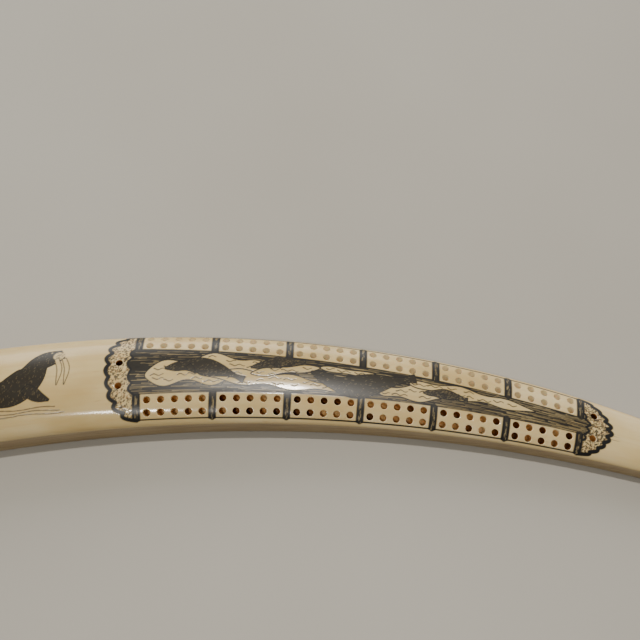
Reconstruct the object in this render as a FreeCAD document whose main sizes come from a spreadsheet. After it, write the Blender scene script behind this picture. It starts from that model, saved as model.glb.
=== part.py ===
import FreeCAD, Part
import math
import os

import Sketcher

# Cribbage board made from a walrus tusk that lies on its side on a flat-sawn underside.
# Row frame: X runs along the tusk at the middle of the hole field, towards the tip; Y points to the
# outside of the curve; Z is up. The origin is on the underside, halfway along the hole field.
# Lengths are in millimetres, angles in radians unless a name ends in _deg.
# "Slope" and "bend" are the linear and square terms of a size along the tusk, per 100 mm and per
# 100 mm squared, counted from the middle towards the tip.

DIMENSIONS = [
    ("arc_radius", 625.0, "radius of the tusk's centre line, seen from above"),
    ("half_length", 240.0, "from the middle to each end, along the centre line"),
    ("half_width_mid", 19.9, "half of the tusk's width in the middle"),
    ("half_width_slope", -3.6, "taper of the half width"),
    ("half_width_bend", -1.135, "change of that taper"),
    ("dome_mid", 6.0, "height of the crowned top over the side walls, in the middle"),
    ("dome_slope", -2.1, "taper of the crown"),
    ("dome_bend", 0.6, "change of that taper"),
    ("wall_mid", 11.3, "height of the side walls in the middle"),
    ("wall_slope", -1.2, "taper of the side walls"),
    ("wall_bend", -0.35, "change of that taper"),
    ("sole_bevel", 1.0, "bevel between the underside and the walls"),
    ("sole_allowance", 0.3, "material under the sole that is filed off flat"),
    ("tip_length", 14.0, "length over which the tip rounds off"),
    ("tip_rise", 3.0, "height of the nose's lower edge above the underside"),
    ("butt_round", 0.8, "rounding of the sawn butt end's edge"),
    ("border_mid", 1.198, "angle across the crown from the top line to the field's border"),
    ("border_slope", -0.060, "change of that angle along the tusk"),
    ("band_mid", 0.407, "angle from the top line to the edge of the middle band"),
    ("band_slope", -0.130, "change of that angle along the tusk"),
    ("twist_slope", -0.073, "turn of the top line along the tusk"),
    ("inner_row_share", 0.196, "place of the inner hole row between band and border"),
    ("outer_row_share", 0.682, "place of the outer hole row between band and border"),
    ("field_half_length", 103.5, "from the middle to each end divider of the hole field"),
    ("panel_count", 6, "panels between the dividers"),
    ("holes_per_panel", 5, "holes of one row in one panel"),
    ("hole_pitch", 6.28, "distance between neighbouring holes of a row"),
    ("hole_radius", 1.6, "street hole, for 1/8 inch pegs"),
    ("hole_depth", 7.0, "full bore of a street hole"),
    ("hole_bevel", 0.3, "broken edge at a hole's mouth"),
    ("drill_point_deg", 118.0, "angle of the drill's point"),
    ("butt_cap_hole", -111.6, "place along the tusk of the two start holes by the butt"),
    ("tip_cap_hole", 109.8, "place along the tusk of the two game holes by the tip"),
    ("cap_hole_side", 5.7, "distance of those holes from the top line, seen from above"),
    ("store_radius", 7.0, "peg store bored into the butt end"),
    ("store_depth", 62.0, "depth of the peg store"),
    ("store_height", 12.2, "height of the peg store's axis over the underside"),
    ("spigot_radius", 5.4, "stopper's spigot under the cork"),
    ("spigot_length", 11.0, "stopper's spigot inside the store"),
    ("cork_radius", 6.9, "cork sleeve on the spigot"),
    ("cork_gap", 0.6, "gap between the sleeve and the stopper's flange"),
    ("cork_length", 9.4, "length of the cork sleeve"),
    ("cork_lead", 0.4, "how much thinner the sleeve's inner end is"),
    ("cork_lead_length", 1.2, "length of that taper"),
    ("flange_radius", 9.6, "stopper's flange against the butt end"),
    ("flange_thickness", 2.4, "thickness of that flange"),
    ("flange_rim", 1.44, "height of the flange's straight rim"),
    ("flange_dish", 9.6, "radius of the flange's rounded shoulder"),
    ("neck_radius", 4.2, "neck between flange and knob"),
    ("neck_height", 4.6, "height of the neck over the butt end"),
    ("neck_flare", 0.8, "how far the neck widens at both ends"),
    ("knob_step", 1.0, "height of the step between neck and knob"),
    ("knob_bulge", 2.94, "radius of the knob's rounded side"),
    ("knob_rim", 1.0, "height of the knob's crown"),
    ("knob_crown", 12.8, "radius of the crown on the stopper's turned knob"),
    ("knob_flat", 1.2, "radius of the small flat at its middle"),
    ("knob_height", 11.6, "height of the knob over the butt end"),
    ("peg_length", 24.2, "whole length of a peg"),
    ("peg_point_radius", 1.05, "peg's lower end"),
    ("peg_point_bevel", 0.3, "bevel of the lower end"),
    ("peg_shank_radius", 1.45, "peg's shank under the collar"),
    ("peg_shank_length", 16.0, "shank from the end to the collar"),
    ("peg_collar_radius", 2.0, "collar that stops the peg at the board"),
    ("peg_collar_length", 1.4, "thickness of the collar"),
    ("peg_collar_bevel", 0.3, "bevels above and below the collar's rim"),
    ("peg_neck_radius", 1.1, "waist between collar and finial"),
    ("peg_neck_start", 0.4, "height of the waist's lower end over the collar"),
    ("peg_neck_end", 1.2, "height of its upper end over the collar"),
    ("peg_finial_radius", 1.9, "finial that the fingers hold"),
    ("peg_finial_rise", 3.6, "height of the finial's widest place over the collar"),
    ("peg_finial_swell", 3.0, "radius of its lower curve"),
    ("peg_finial_shoulder", 4.5, "radius of its upper curve"),
    ("peg_top_radius", 0.95, "rim of the finial's flat cone"),
    ("peg_top_height", 0.3, "height of that cone"),
    ("peg_ring_radius", 4.75, "distance of the stored pegs from the store's axis"),
    ("peg_gap", 0.35, "end gap between stored pegs"),
]

STATION_COUNT = 11
TIP_ANGLES_DEG = (25.0, 50.0, 72.0)
PEG_ANGLES_DEG = (-144.0, -90.0, -36.0)
HOLE_CLEARANCE = 1.0
FLATNESS = 0.01
VOLUME_TOLERANCE = 0.01
PARALLEL = 0.999


def vector(x, y, z=0.0):
    return FreeCAD.Vector(x, y, z)


def fill_sheet(doc):
    """The driving dimensions, one per row: name, value, meaning."""
    sheet = doc.addObject("Spreadsheet::Sheet", "dims")
    for row, (alias, value, meaning) in enumerate(DIMENSIONS, start=1):
        sheet.set(f"A{row}", alias)
        sheet.set(f"B{row}", str(value))
        sheet.set(f"C{row}", meaning)
        sheet.setAlias(f"B{row}", alias)
    doc.recompute()
    return sheet


def origin_plane(body, role):
    return next(plane for plane in body.Origin.OriginFeatures if plane.Role == role)


def taper(name, along):
    """Expression of a size that varies along the tusk; `along` is an expression in units of 100 mm."""
    return f"(dims.{name}_mid + dims.{name}_slope * {along} + dims.{name}_bend * {along} * {along})"


def spine_offset(distance):
    """Expression of the attachment, on a YZ plane, of a section `distance` along the centre line."""
    turn = f"({distance} / dims.arc_radius * 1 rad)"
    side = f"dims.arc_radius * (cos({turn}) - 1)"
    ahead = f"dims.arc_radius * sin({turn})"
    return f"placement(vector({side}; 0; {ahead}); rotation(vector(0; 1; 0); -{turn}))"


def drive(sketch, constraint, expression):
    """Adds a dimension to a sketch and binds it to an expression of the sheet."""
    index = sketch.addConstraint(constraint)
    sketch.setExpression(f"Constraints[{index}]", expression)


def add_section(body, name, distance, scale="1", base="0"):
    """Cross-section of the tusk: sole, small bevels, straight walls and a half-elliptic crown.

    It reaches below the sole by the allowance, and its bevels run on down to there.
    """
    along = f"({distance} / 100)"
    half_width = f"({taper('half_width', along)} * {scale})"
    crown = f"({taper('dome', along)} * {scale})"
    wall_top = taper("wall", along)
    bevel = f"((dims.sole_bevel + dims.sole_allowance) * {scale})"
    sole = f"({base} - dims.sole_allowance * {scale})"
    wall_top = f"({base} + ({wall_top} - {base}) * {scale})"

    sketch = body.newObject("Sketcher::SketchObject", name)
    sketch.AttachmentSupport = (origin_plane(body, "YZ_Plane"), "")
    sketch.MapMode = "FlatFace"
    sketch.setExpression("AttachmentOffset", spine_offset(distance))

    wide, high, top, cut, low = (
        float(sketch.evalExpression(text)) for text in (half_width, crown, wall_top, bevel, sole)
    )
    crown_ellipse = Part.Ellipse(vector(0, top), wide, high)
    corners = [
        vector(-wide, top), vector(-wide, low + cut), vector(-wide + cut, low),
        vector(wide - cut, low), vector(wide, low + cut), vector(wide, top),
    ]
    sketch.addGeometry(Part.ArcOfEllipse(crown_ellipse, 0, math.pi), False)
    for start, end in zip(corners, corners[1:]):
        sketch.addGeometry(Part.LineSegment(start, end), False)
    sketch.exposeInternalGeometry(0)
    major, minor = 6, 7
    for first in range(5):
        sketch.addConstraint(Sketcher.Constraint("Coincident", first, 2, first + 1, 1))
    sketch.addConstraint(Sketcher.Constraint("Coincident", 5, 2, 0, 1))
    sketch.addConstraint(Sketcher.Constraint("PointOnObject", 0, 3, -2))
    sketch.addConstraint(Sketcher.Constraint("Horizontal", major))
    sketch.addConstraint(Sketcher.Constraint("Horizontal", 0, 1, 0, 3))
    sketch.addConstraint(Sketcher.Constraint("Horizontal", 0, 2, 0, 3))
    sketch.addConstraint(Sketcher.Constraint("Vertical", 1))
    sketch.addConstraint(Sketcher.Constraint("Vertical", 5))
    sketch.addConstraint(Sketcher.Constraint("Horizontal", 3))
    drive(sketch, Sketcher.Constraint("Distance", major, 2 * wide), f"2 * {half_width}")
    drive(sketch, Sketcher.Constraint("Distance", minor, 2 * high), f"2 * {crown}")
    drive(sketch, Sketcher.Constraint("DistanceY", -1, 1, 0, 3, top), wall_top)
    drive(sketch, Sketcher.Constraint("DistanceX", 2, 1, 2, 2, cut), bevel)
    drive(sketch, Sketcher.Constraint("DistanceY", 2, 2, 2, 1, cut), bevel)
    drive(sketch, Sketcher.Constraint("DistanceX", 4, 1, 4, 2, cut), bevel)
    drive(sketch, Sketcher.Constraint("DistanceY", -1, 1, 3, 1, low), sole)
    return sketch


def add_loft(body, name, sections):
    loft = body.newObject("PartDesign::AdditiveLoft", name)
    loft.Profile = sections[0]
    loft.Sections = sections[1:]
    loft.Ruled = False
    return loft


def make_tusk_blank(doc):
    """The shaped tusk before the street holes: shaft, rounded tip, eased butt edge, peg store."""
    body = doc.addObject("PartDesign::Body", "tusk_blank")
    shaft_length = "(2 * dims.half_length - dims.tip_length)"
    shaft = []
    for station in range(STATION_COUNT):
        share = station / (STATION_COUNT - 1)
        distance = f"({shaft_length} * {share:.3f} - dims.half_length)"
        shaft.append(add_section(body, f"section_{station}", distance))
    add_loft(body, "shaft", shaft)

    nose = [add_section(body, "nose_0", "(dims.half_length - dims.tip_length)")]
    for number, angle in enumerate(TIP_ANGLES_DEG, start=1):
        distance = f"(dims.half_length - dims.tip_length * (1 - sin({angle} deg)))"
        base = f"(dims.tip_rise * (1 - cos({angle} deg)))"
        nose.append(add_section(body, f"nose_{number}", distance, f"cos({angle} deg)", base))
    add_loft(body, "nose", nose)
    doc.recompute()
    return body


def file_sole(doc, body):
    """Takes the allowance off the underside, level with the row's XY plane."""
    sketch = body.newObject("Sketcher::SketchObject", "sole_plane")
    sketch.AttachmentSupport = (origin_plane(body, "XY_Plane"), "")
    sketch.MapMode = "FlatFace"
    reach = float(sketch.evalExpression("2 * dims.half_length"))
    sketch.addGeometry(Part.Circle(vector(0, 0), vector(0, 0, 1), reach), False)
    sketch.addConstraint(Sketcher.Constraint("Coincident", 0, 3, -1, 1))
    drive(sketch, Sketcher.Constraint("Radius", 0, reach), "2 * dims.half_length")
    filing = body.newObject("PartDesign::Pocket", "sole")
    filing.Profile = sketch
    filing.setExpression("Length", "2 * dims.sole_allowance")
    doc.recompute()
    lowest = body.Shape.optimalBoundingBox(False).ZMin
    if abs(lowest) > FLATNESS:
        raise RuntimeError(f"the sole lies at {lowest:.3f} mm")


def bore_peg_store(doc, body):
    """A blind round hole along the tusk's axis, from the middle of the sawn butt end."""
    sketch = body.newObject("Sketcher::SketchObject", "store_mouth")
    sketch.AttachmentSupport = (origin_plane(body, "YZ_Plane"), "")
    sketch.MapMode = "FlatFace"
    sketch.setExpression("AttachmentOffset", spine_offset("(-dims.half_length)"))
    height = float(sketch.evalExpression("dims.store_height"))
    radius = float(sketch.evalExpression("dims.store_radius"))
    sketch.addGeometry(Part.Circle(vector(0, height), vector(0, 0, 1), radius), False)
    sketch.addConstraint(Sketcher.Constraint("PointOnObject", 0, 3, -2))
    drive(sketch, Sketcher.Constraint("DistanceY", -1, 1, 0, 3, height), "dims.store_height")
    drive(sketch, Sketcher.Constraint("Radius", 0, radius), "dims.store_radius")
    before = body.Shape.Volume
    pocket = body.newObject("PartDesign::Pocket", "peg_store")
    pocket.Profile = sketch
    pocket.Reversed = True
    pocket.setExpression("Length", "dims.store_depth")
    doc.recompute()
    removed = before - body.Shape.Volume
    depth = float(sketch.evalExpression("dims.store_depth"))
    if not math.isclose(removed, math.pi * radius ** 2 * depth, rel_tol=VOLUME_TOLERANCE):
        raise RuntimeError(f"the peg store removed {removed:.0f} cubic millimetres")


def round_butt_edge(doc, body):
    """Eases the outer edge of the sawn butt end."""
    turn = -body.evalExpression("dims.half_length / dims.arc_radius")
    inward = vector(math.cos(turn), -math.sin(turn))
    sawn = body.Tip
    ends = [
        face for face in sawn.Shape.Faces
        if isinstance(face.Surface, Part.Plane) and abs(face.normalAt(0, 0).dot(inward)) > PARALLEL
    ]
    butt = min(ends, key=lambda face: face.CenterOfMass.x)
    names = [
        f"Edge{number}" for number, edge in enumerate(sawn.Shape.Edges, start=1)
        if any(edge.isSame(other) for other in butt.OuterWire.Edges)
    ]
    fillet = body.newObject("PartDesign::Fillet", "butt_edge")
    fillet.Base = (sawn, names)
    fillet.setExpression("Radius", "dims.butt_round")
    doc.recompute()


def tapered(dims, name, distance):
    """The same taper as in the sections, as a number."""
    along = distance / 100
    return dims[f"{name}_mid"] + dims[f"{name}_slope"] * along + dims[f"{name}_bend"] * along ** 2


def crown_point(dims, distance, angle):
    """A point of the crowned top and the direction square to the top there, in the section's plane."""
    turn = distance / dims["arc_radius"]
    across = vector(math.sin(turn), math.cos(turn))
    spine = vector(dims["arc_radius"] * math.sin(turn), dims["arc_radius"] * (math.cos(turn) - 1))
    half_width = tapered(dims, "half_width", distance)
    crown = tapered(dims, "dome", distance)
    height = tapered(dims, "wall", distance) + crown * math.cos(angle)
    point = spine + across * half_width * math.sin(angle) + vector(0, 0, height)
    outward = across * crown * math.sin(angle) + vector(0, 0, half_width * math.cos(angle))
    return point, outward.normalize()


def street_places(dims):
    """Every street hole as a distance along the tusk and an angle across the crown."""
    panels = int(dims["panel_count"])
    holes = int(dims["holes_per_panel"])
    panel_length = 2 * dims["field_half_length"] / panels
    for panel in range(panels):
        panel_middle = (panel + 0.5) * panel_length - dims["field_half_length"]
        for hole in range(holes):
            distance = panel_middle + (hole - (holes - 1) / 2) * dims["hole_pitch"]
            along = distance / 100
            band = dims["band_mid"] + dims["band_slope"] * along
            border = dims["border_mid"] + dims["border_slope"] * along
            for share in (dims["inner_row_share"], dims["outer_row_share"]):
                offset = band + (border - band) * share
                for side in (-1, 1):
                    yield distance, dims["twist_slope"] * along + side * offset


def cap_places(dims):
    """The two holes in each end cap, one for each player."""
    for distance in (dims["butt_cap_hole"], dims["tip_cap_hole"]):
        angle = math.asin(dims["cap_hole_side"] / tapered(dims, "half_width", distance))
        for side in (-1, 1):
            yield distance, side * angle


def hole_space(dims):
    """The space of one hole: bevelled mouth, straight bore and drill point, opening towards +Z.

    It is made of two half turns, so that no round face closes on itself where it meets the crown.
    """
    radius = dims["hole_radius"]
    depth = dims["hole_depth"]
    bevel = dims["hole_bevel"]
    point = radius / math.tan(math.radians(dims["drill_point_deg"] / 2))
    outline = [
        vector(0, 0, -depth - point), vector(radius, 0, -depth), vector(radius, 0, -bevel),
        vector(radius + bevel + HOLE_CLEARANCE, 0, HOLE_CLEARANCE), vector(0, 0, HOLE_CLEARANCE),
    ]
    origin = vector(0, 0)
    axis = vector(0, 0, 1)
    half = Part.Face(Part.makePolygon(outline + outline[:1])).revolve(origin, axis, 180)
    other_half = half.copy()
    other_half.rotate(origin, axis, 180)
    return half.fuse(other_half).Solids[0]


def drill_holes(doc, blank, dims):
    """The finished tusk: every hole drilled square to the crown where it stands."""
    hole = hole_space(dims)
    holes = []
    for distance, angle in list(street_places(dims)) + list(cap_places(dims)):
        point, outward = crown_point(dims, distance, angle)
        copy = hole.copy()
        copy.Placement = FreeCAD.Placement(point, FreeCAD.Rotation(vector(0, 0, 1), outward))
        holes.append(copy)
    tusk = doc.addObject("Part::Feature", "tusk_body")
    tusk.Label = "tusk_body"
    tusk.Shape = blank.Shape.Solids[0].cut(holes).Solids[0]
    tusk.Placement = FreeCAD.Placement()
    return tusk


def store_placement(depth, radius="0", angle_deg=0.0):
    """Expression of the place of a piece whose +Z points out of the store.

    The piece's origin is `depth` inside the butt end, at a ring radius and angle about the store's axis.
    """
    turn = "(-dims.half_length / dims.arc_radius * 1 rad)"
    side = f"({radius} * cos({angle_deg} deg))"
    rise = f"({radius} * sin({angle_deg} deg))"
    x = f"dims.arc_radius * sin({turn}) + {depth} * cos({turn}) - {side} * sin({turn})"
    y = f"dims.arc_radius * (cos({turn}) - 1) - {depth} * sin({turn}) - {side} * cos({turn})"
    z = f"dims.store_height + {rise}"
    return f"placement(vector({x}; {y}; {z}); rotation(-90 deg - {turn}; 0 deg; 90 deg))"


def turned_profile(body, points, arcs):
    """A half outline for turning about Z, its corners bound to the sheet.

    `points` are pairs of expressions (radius, height). `arcs` maps the number of a side to the
    expression of its radius; the arc bulges away from the axis.
    """
    sketch = body.newObject("Sketcher::SketchObject", f"{body.Name}_outline")
    sketch.AttachmentSupport = (origin_plane(body, "XZ_Plane"), "")
    sketch.MapMode = "FlatFace"
    places = [
        vector(float(sketch.evalExpression(radius)), float(sketch.evalExpression(height)))
        for radius, height in points
    ]
    count = len(points)
    for side in range(count):
        start = places[side]
        end = places[(side + 1) % count]
        if side in arcs:
            bend = float(sketch.evalExpression(arcs[side]))
            sketch.addGeometry(outward_arc(start, end, bend), False)
            drive(sketch, Sketcher.Constraint("Radius", side, bend), arcs[side])
        else:
            sketch.addGeometry(Part.LineSegment(start, end), False)
    for side in range(count):
        following = (side + 1) % count
        sketch.addConstraint(Sketcher.Constraint("Coincident", side, 2, following, 1))
    for corner, (radius, height) in enumerate(points):
        place = places[corner]
        if radius == "0":
            sketch.addConstraint(Sketcher.Constraint("PointOnObject", corner, 1, -2))
        else:
            drive(sketch, Sketcher.Constraint("DistanceX", -1, 1, corner, 1, place.x), radius)
        if height == "0":
            sketch.addConstraint(Sketcher.Constraint("PointOnObject", corner, 1, -1))
        else:
            drive(sketch, Sketcher.Constraint("DistanceY", -1, 1, corner, 1, place.y), height)
    return sketch


def outward_arc(start, end, bend):
    """Arc from start to end, running upwards and bulging to the right."""
    chord = end - start
    reach = math.sqrt(bend ** 2 - (chord.Length / 2) ** 2)
    right = vector(chord.y, -chord.x).normalize()
    middle = (start + end) * 0.5
    crest = middle + right * (bend - reach)
    return Part.Arc(start, crest, end)


def turn_piece(doc, name, points, arcs, placement):
    """A lathe-turned piece from its half outline."""
    body = doc.addObject("PartDesign::Body", name)
    body.Label = name
    sketch = turned_profile(body, points, arcs)
    turning = body.newObject("PartDesign::Revolution", f"{name}_turning")
    turning.Profile = sketch
    turning.ReferenceAxis = (sketch, ["V_Axis"])
    turning.Angle = 360.0
    body.setExpression("Placement", placement)
    doc.recompute()
    return body


def make_stopper(doc):
    """Ivory stopper: spigot inside the store, flange on the butt end, neck and knob for the fingers."""
    points = [
        ("0", "-dims.spigot_length"),
        ("dims.spigot_radius", "-dims.spigot_length"),
        ("dims.spigot_radius", "0"),
        ("dims.flange_radius", "0"),
        ("dims.flange_radius", "dims.flange_rim"),
        ("dims.neck_radius + dims.neck_flare", "dims.flange_thickness"),
        ("dims.neck_radius", "dims.neck_height"),
        ("dims.neck_radius + dims.neck_flare", "dims.neck_height + dims.knob_step"),
        ("dims.neck_radius", "dims.knob_height - dims.knob_rim"),
        ("dims.knob_flat", "dims.knob_height"),
        ("0", "dims.knob_height"),
    ]
    arcs = {4: "dims.flange_dish", 7: "dims.knob_bulge", 8: "dims.knob_crown"}
    return turn_piece(doc, "stopper", points, arcs, store_placement("0"))


def make_cork(doc):
    """Cork sleeve pressed on the spigot; it grips the store's wall."""
    low = "-dims.cork_gap - dims.cork_length"
    high = "-dims.cork_gap"
    points = [
        ("dims.spigot_radius", low),
        ("dims.cork_radius - dims.cork_lead", low),
        ("dims.cork_radius", f"{low} + dims.cork_lead_length"),
        ("dims.cork_radius", high),
        ("dims.spigot_radius", high),
    ]
    return turn_piece(doc, "stopper_cork", points, {}, store_placement("0"))


def make_peg(doc, name, depth, angle_deg):
    """Peg: tapered shank, collar, waist and round finial. Its origin is the shank's end."""
    collar_top = "dims.peg_shank_length + dims.peg_collar_length"
    points = [
        ("0", "0"),
        ("dims.peg_point_radius - dims.peg_point_bevel", "0"),
        ("dims.peg_point_radius", "dims.peg_point_bevel"),
        ("dims.peg_shank_radius", "dims.peg_shank_length"),
        ("dims.peg_collar_radius", "dims.peg_shank_length + dims.peg_collar_bevel"),
        ("dims.peg_collar_radius", f"{collar_top} - dims.peg_collar_bevel"),
        ("dims.peg_neck_radius", f"{collar_top} + dims.peg_neck_start"),
        ("dims.peg_neck_radius", f"{collar_top} + dims.peg_neck_end"),
        ("dims.peg_finial_radius", f"{collar_top} + dims.peg_finial_rise"),
        ("dims.peg_top_radius", "dims.peg_length - dims.peg_top_height"),
        ("0", "dims.peg_length"),
    ]
    arcs = {7: "dims.peg_finial_swell", 8: "dims.peg_finial_shoulder"}
    placement = store_placement(depth, "dims.peg_ring_radius", angle_deg)
    return turn_piece(doc, name, points, arcs, placement)


def make_pegs(doc):
    """Three light pegs by the mouth of the store and three dark ones behind them, end to end."""
    rear = "(dims.store_depth - dims.peg_gap)"
    front = f"({rear} - dims.peg_length - dims.peg_gap)"
    pegs = []
    for number, angle_deg in enumerate(PEG_ANGLES_DEG, start=1):
        pegs.append(make_peg(doc, f"peg_light_{number}", front, angle_deg))
        pegs.append(make_peg(doc, f"peg_dark_{number}", rear, angle_deg))
    return pegs


def check_document(doc, pieces):
    """Stops if any feature failed or a piece isn't one sound solid."""
    for item in doc.Objects:
        if "Invalid" in item.State or "Error" in item.State:
            raise RuntimeError(f"{item.Name} is {item.State}")
    for piece in pieces:
        if piece.Shape.isNull() or not piece.Shape.isValid() or len(piece.Shape.Solids) != 1:
            raise RuntimeError(f"{piece.Label} has no single valid solid")


def main():
    doc = FreeCAD.newDocument("cribbage_board")
    sheet = fill_sheet(doc)
    dims = {alias: float(sheet.get(alias)) for alias, _, _ in DIMENSIONS}

    blank = make_tusk_blank(doc)
    file_sole(doc, blank)
    round_butt_edge(doc, blank)
    bore_peg_store(doc, blank)
    tusk = drill_holes(doc, blank, dims)

    pieces = [tusk, make_stopper(doc), make_cork(doc)] + make_pegs(doc)
    doc.recompute()
    check_document(doc, pieces)
    os.makedirs("parts", exist_ok=True)
    for piece in pieces:
        piece.Shape.exportStep(os.path.join("parts", f"{piece.Label}.step"))
        print(f"{piece.Label}: {piece.Shape.Volume:.1f} cubic millimetres")


main()
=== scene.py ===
import math

import bpy
import numpy as np
from mathutils import Matrix, Vector


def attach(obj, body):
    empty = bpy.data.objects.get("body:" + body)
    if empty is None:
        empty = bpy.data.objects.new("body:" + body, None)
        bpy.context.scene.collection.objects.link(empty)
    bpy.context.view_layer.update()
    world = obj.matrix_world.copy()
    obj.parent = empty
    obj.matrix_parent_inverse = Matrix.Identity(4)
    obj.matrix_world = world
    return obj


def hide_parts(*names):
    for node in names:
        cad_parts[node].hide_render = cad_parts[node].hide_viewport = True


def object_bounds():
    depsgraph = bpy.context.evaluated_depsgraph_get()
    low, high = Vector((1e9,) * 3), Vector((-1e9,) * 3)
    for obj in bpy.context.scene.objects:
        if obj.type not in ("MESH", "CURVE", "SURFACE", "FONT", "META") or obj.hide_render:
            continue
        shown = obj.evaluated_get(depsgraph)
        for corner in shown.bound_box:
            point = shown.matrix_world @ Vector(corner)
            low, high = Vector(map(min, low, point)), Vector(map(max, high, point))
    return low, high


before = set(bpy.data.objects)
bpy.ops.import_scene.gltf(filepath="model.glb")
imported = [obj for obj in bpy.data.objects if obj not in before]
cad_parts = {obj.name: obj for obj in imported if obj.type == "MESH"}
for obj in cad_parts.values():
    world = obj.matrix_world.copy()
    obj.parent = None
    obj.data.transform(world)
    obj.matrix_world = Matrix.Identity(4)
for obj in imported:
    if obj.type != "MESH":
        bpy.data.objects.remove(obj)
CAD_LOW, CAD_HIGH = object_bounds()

# Looks of the walrus-tusk cribbage board. The shape is worked out in millimetres and stored in metres.
# A place on the crowned top is (along, turn): millimetres along the centre line and an angle from the
# top line, or (along, share), where share 0 is the engraving's middle line and -1 and 1 its borders.
MM = 0.001
SEED = 20

# The same driving dimensions as the CAD model. Triples are middle, slope and bend per 100 mm.
ARC_RADIUS = 625.0
HALF_LENGTH = 240.0
HALF_WIDTH = (19.9, -3.6, -1.135)
CROWN_HEIGHT = (6.0, -2.1, 0.6)
WALL_HEIGHT = (11.3, -1.2, -0.35)
BORDER_ANGLE = (1.198, -0.060, 0.0)
BAND_ANGLE = (0.407, -0.130, 0.0)
TWIST = (0.0, -0.073, 0.0)
SOLE_BEVEL = 1.0
BUTT_ROUND = 0.8
TIP_LENGTH = 14.0
TIP_RISE = 3.0
TIP_END_DEG = 74.0
SOLE_ALLOWANCE = 0.3
STORE_RADIUS = 7.0
STORE_DEPTH = 62.0
STORE_HEIGHT = 12.2
FIELD_HALF = 103.5
PANELS = 6
HOLES_PER_PANEL = 5
HOLE_PITCH = 6.28
HOLE_RADIUS = 1.6
HOLE_DEPTH = 7.0
HOLE_BEVEL = 0.3
DRILL_POINT = 0.96
ROW_SHARES = (0.196, 0.682)
BUTT_CAP_HOLE = -111.6
TIP_CAP_HOLE = 109.8
CAP_HOLE_SIDE = 5.7
WATER_PAST_FIELD = 6

# Grid of the visible tusk.
FINE_STEP = 0.3
FINE_FROM = -189.0
FINE_TO = 121.0
COARSE_STEP = 2.0
CROWN_COLUMNS = 165
PATCH_HALF = 2.3
INK_DEPTH = 0.1

# How brown the holes are, from 0 to 1: part stain, part painted shade that goes near black deep in the
# bores; the low far-row values give a pale colour that is painted light.
CAP_TINTS = (0.42, 0.95)
FAR_TINTS = (0.12, 0.17)
NEAR_TINTS = (0.30, 0.34, 0.38, 0.46, 0.80)
STORE_RING_DEPTHS = (STORE_DEPTH, STORE_DEPTH - 0.5, 45.0, 30.0, 15.0, 6.0, 2.0, 0.4)
STORE_FLOOR_RING = 2.5
STORE_MOUTH_BEVEL = 0.4
STORE_ROWS = len(STORE_RING_DEPTHS) + 1
FACE_ROWS = 12


def taper(terms, along):
    q = np.asarray(along, float) / 100
    return terms[0] + terms[1] * q + terms[2] * q * q


def on_spine(along):
    """Centre line point and the direction across it, seen from above."""
    turn = np.asarray(along, float) / ARC_RADIUS
    point = np.stack([ARC_RADIUS * np.sin(turn), ARC_RADIUS * (np.cos(turn) - 1)], -1)
    across = np.stack([np.sin(turn), np.cos(turn)], -1)
    return point, across


def crown(along, turn):
    """Points of the crowned top, in millimetres."""
    along, turn = np.broadcast_arrays(np.asarray(along, float), np.asarray(turn, float))
    point, across = on_spine(along)
    side = taper(HALF_WIDTH, along) * np.sin(turn)
    height = taper(WALL_HEIGHT, along) + taper(CROWN_HEIGHT, along) * np.cos(turn)
    flat = point + across * side[..., None]
    return np.concatenate([flat, height[..., None]], -1)


def arc_speed(along, turn):
    """Millimetres of crown per radian of turn."""
    wide = taper(HALF_WIDTH, along) * np.cos(turn)
    high = taper(CROWN_HEIGHT, along) * np.sin(turn)
    return np.sqrt(wide ** 2 + high ** 2)


def crown_length(along, turn, steps=24):
    """Distance over the crown from the top line to a turn, in millimetres."""
    along, turn = np.broadcast_arrays(np.asarray(along, float), np.asarray(turn, float))
    shares = (np.arange(steps) + 0.5) / steps
    return sum(arc_speed(along, turn * share) for share in shares) * turn / steps


def turn_of(along, share):
    """Turn of a place given as a share of the border's angle."""
    return taper(TWIST, along) + taper(BORDER_ANGLE, along) * np.asarray(share, float)


def band_share(along, share):
    """Share of the border's angle for a place given as a share of the middle band's half width."""
    return np.asarray(share, float) * taper(BAND_ANGLE, along) / taper(BORDER_ANGLE, along)


def flat(points):
    """(along, share) places unrolled to (along, millimetres over the crown)."""
    points = np.asarray(points, float)
    return np.stack([points[:, 0], crown_length(points[:, 0], turn_of(points[:, 0], points[:, 1]))], -1)


def in_band(points):
    """(along, share of the band) places as (along, share of the border)."""
    points = np.asarray(points, float)
    return np.stack([points[:, 0], band_share(points[:, 0], points[:, 1])], -1)


def smooth(points, steps=6, closed=False):
    """Catmull-Rom curve through points."""
    points = np.asarray(points, float)
    if closed:
        ring = np.concatenate([points[-1:], points, points[:2]])
    else:
        ring = np.concatenate([2 * points[:1] - points[1:2], points, 2 * points[-1:] - points[-2:-1]])
    t = (np.arange(steps) / steps)[:, None]
    curve = []
    for a, b, c, d in zip(ring, ring[1:], ring[2:], ring[3:]):
        bend = 2 * a - 5 * b + 4 * c - d
        twist = 3 * b - a - 3 * c + d
        curve.append(0.5 * (2 * b + (c - a) * t + bend * t ** 2 + twist * t ** 3))
    if not closed:
        curve.append(points[-1:])
    return np.concatenate(curve)


def hole_places():
    """(along, turn) of every peg hole."""
    places = []
    panel_length = 2 * FIELD_HALF / PANELS
    for panel in range(PANELS):
        middle = (panel + 0.5) * panel_length - FIELD_HALF
        for number in range(HOLES_PER_PANEL):
            along = middle + (number - (HOLES_PER_PANEL - 1) / 2) * HOLE_PITCH
            band = taper(BAND_ANGLE, along)
            border = taper(BORDER_ANGLE, along)
            for row in ROW_SHARES:
                for side in (-1, 1):
                    places.append((along, taper(TWIST, along) + side * (band + (border - band) * row)))
    for along in (BUTT_CAP_HOLE, TIP_CAP_HOLE):
        turn = math.asin(CAP_HOLE_SIDE / taper(HALF_WIDTH, along))
        places += [(along, -turn), (along, turn)]
    return places


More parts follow.
